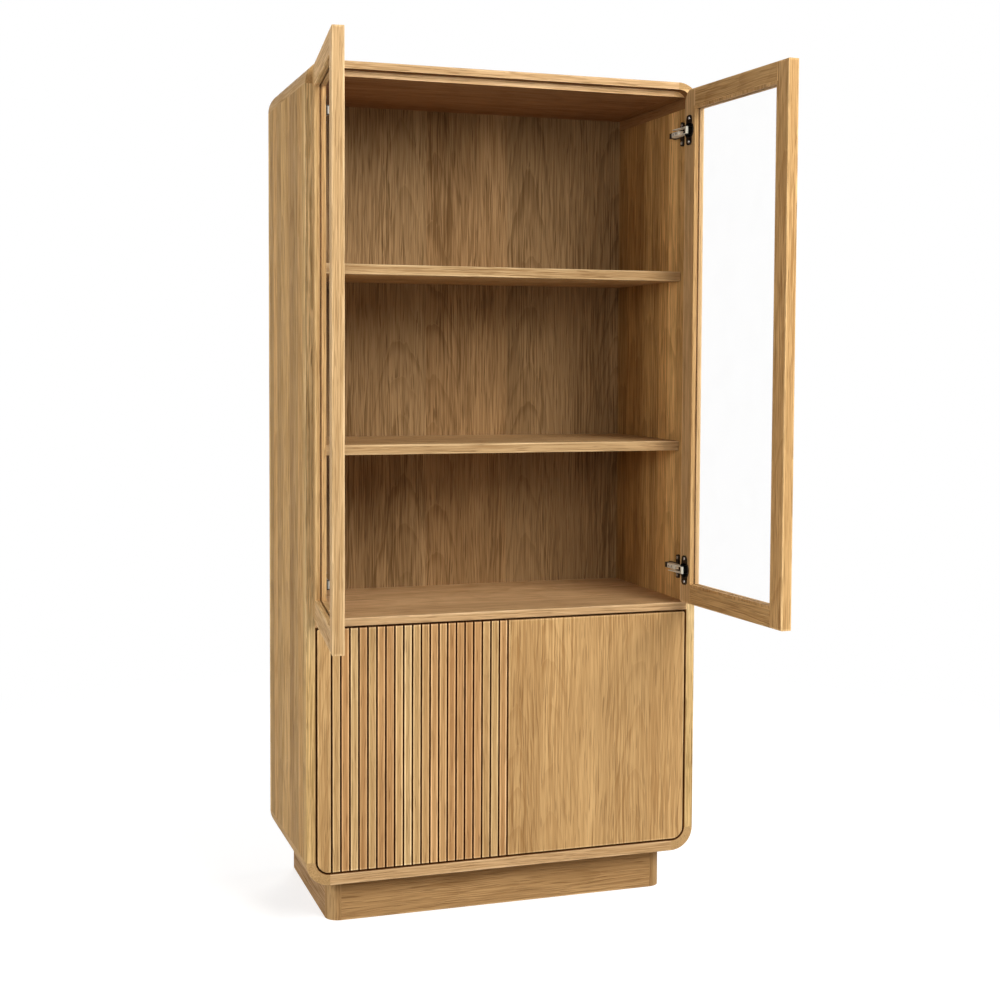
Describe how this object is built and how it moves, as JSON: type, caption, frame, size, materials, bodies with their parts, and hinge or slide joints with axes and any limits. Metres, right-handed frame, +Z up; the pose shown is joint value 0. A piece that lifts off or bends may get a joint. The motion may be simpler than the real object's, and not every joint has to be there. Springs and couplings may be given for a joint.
{
  "type": "bookcase with glass doors",
  "caption": "Tall oak bookcase on a recessed plinth: framed glass doors over shelves, a slatted and a plain door below, all corners rounded.",
  "frame": {"origin": "on the floor, at the middle of the carcass's width and depth, on the underside of the plinth's stretcher", "axes": "+X to the right seen from the front, +Y from front to back, +Z up"},
  "size_m": [0.9487, 0.8589, 1.84],
  "materials": {
    "oak": "satin oiled oak",
    "oak_inside": "satin oiled oak",
    "oak_back": "satin oak veneer",
    "oak_slats": "satin oiled oak",
    "softwood": "bare",
    "glass": "clear float glass",
    "nickel": "nickel plated",
    "dark_nickel": "dark nickel plated",
    "screw_steel": "zinc plated"
  },
  "bodies": {
    "carcass": {"side_panel_left": "oak", "side_panel_right": "oak", "top_panel": "oak", "bottom_panel": "oak", "corner_top_left": "oak", "corner_top_right": "oak", "corner_bottom_left": "oak", "corner_bottom_right": "oak", "divider_panel": "oak", "back_panel": "oak_back", "back_panel_screws": "screw_steel", "shelf_upper": "oak_inside", "shelf_middle": "oak_inside", "shelf_lower": "oak_inside", "shelf_pins": "screw_steel", "plinth_front": "oak", "plinth_side_left": "oak", "plinth_side_right": "oak", "plinth_corner_left": "oak", "plinth_corner_right": "oak", "plinth_back": "oak", "plinth_stretcher": "softwood", "plinth_cleats": "softwood", "plinth_screws": "screw_steel", "hinge_plates": "dark_nickel", "hinge_arms": "nickel", "hinge_screws": "screw_steel"},
    "left_glass_door": {"left_glass_door_hinge_stile": "oak", "left_glass_door_free_stile": "oak", "left_glass_door_top_rail": "oak", "left_glass_door_bottom_rail": "oak", "left_glass_door_glass": "glass", "left_glass_door_glass_beads": "oak", "left_glass_door_hinge_cups": "dark_nickel", "left_glass_door_cup_screws": "screw_steel"},
    "right_glass_door": {"right_glass_door_hinge_stile": "oak", "right_glass_door_free_stile": "oak", "right_glass_door_top_rail": "oak", "right_glass_door_bottom_rail": "oak", "right_glass_door_glass": "glass", "right_glass_door_glass_beads": "oak", "right_glass_door_hinge_cups": "dark_nickel", "right_glass_door_cup_screws": "screw_steel"},
    "slatted_door": {"slatted_door_backing": "oak", "slatted_door_stile": "oak", "slatted_door_slats": "oak_slats", "slatted_door_hinge_cups": "dark_nickel", "slatted_door_cup_screws": "screw_steel"},
    "plain_door": {"plain_door_panel": "oak", "plain_door_hinge_cups": "dark_nickel", "plain_door_cup_screws": "screw_steel"},
    "left_glass_door_links": {"left_glass_door_hinge_links": "nickel"},
    "right_glass_door_links": {"right_glass_door_hinge_links": "nickel"},
    "slatted_door_links": {"slatted_door_hinge_links": "nickel"},
    "plain_door_links": {"plain_door_hinge_links": "nickel"}
  },
  "joints": [
    {"name": "left_glass_door_swing", "type": "hinge", "parent": "carcass", "child": "left_glass_door", "pos_m": [-0.432, -0.213, 1.246], "axis": [0, 0, -1], "range_deg": [-97, 3]},
    {"name": "left_glass_door_link_pin", "type": "hinge", "parent": "left_glass_door", "child": "left_glass_door_links", "pos_m": [-0.40744, -0.24271, 1.246], "axis": [0, 0, -1], "range_deg": [-3, 97]},
    {"name": "right_glass_door_swing", "type": "hinge", "parent": "carcass", "child": "right_glass_door", "pos_m": [0.432, -0.213, 1.246], "axis": [0, 0, 1], "range_deg": [-93.8, 6.2]},
    {"name": "right_glass_door_link_pin", "type": "hinge", "parent": "right_glass_door", "child": "right_glass_door_links", "pos_m": [0.40582, -0.2413, 1.246], "axis": [0, 0, 1], "range_deg": [-6.2, 93.8]},
    {"name": "slatted_door_swing", "type": "hinge", "parent": "carcass", "child": "slatted_door", "pos_m": [-0.432, -0.213, 0.3845], "axis": [0, 0, -1], "range_deg": [0, 100]},
    {"name": "slatted_door_link_pin", "type": "hinge", "parent": "slatted_door", "child": "slatted_door_links", "pos_m": [-0.4055, -0.185, 0.3845], "axis": [0, 0, -1], "range_deg": [-100, 0]},
    {"name": "plain_door_swing", "type": "hinge", "parent": "carcass", "child": "plain_door", "pos_m": [0.432, -0.213, 0.3845], "axis": [0, 0, 1], "range_deg": [0, 100]},
    {"name": "plain_door_link_pin", "type": "hinge", "parent": "plain_door", "child": "plain_door_links", "pos_m": [0.4055, -0.185, 0.3845], "axis": [0, 0, 1], "range_deg": [-100, 0]}
  ],
  "couplings": [
    {"joint": "left_glass_door_link_pin", "follows": "left_glass_door_swing", "ratio": -1},
    {"joint": "right_glass_door_link_pin", "follows": "right_glass_door_swing", "ratio": -1},
    {"joint": "slatted_door_link_pin", "follows": "slatted_door_swing", "ratio": -1},
    {"joint": "plain_door_link_pin", "follows": "plain_door_swing", "ratio": -1}
  ]
}
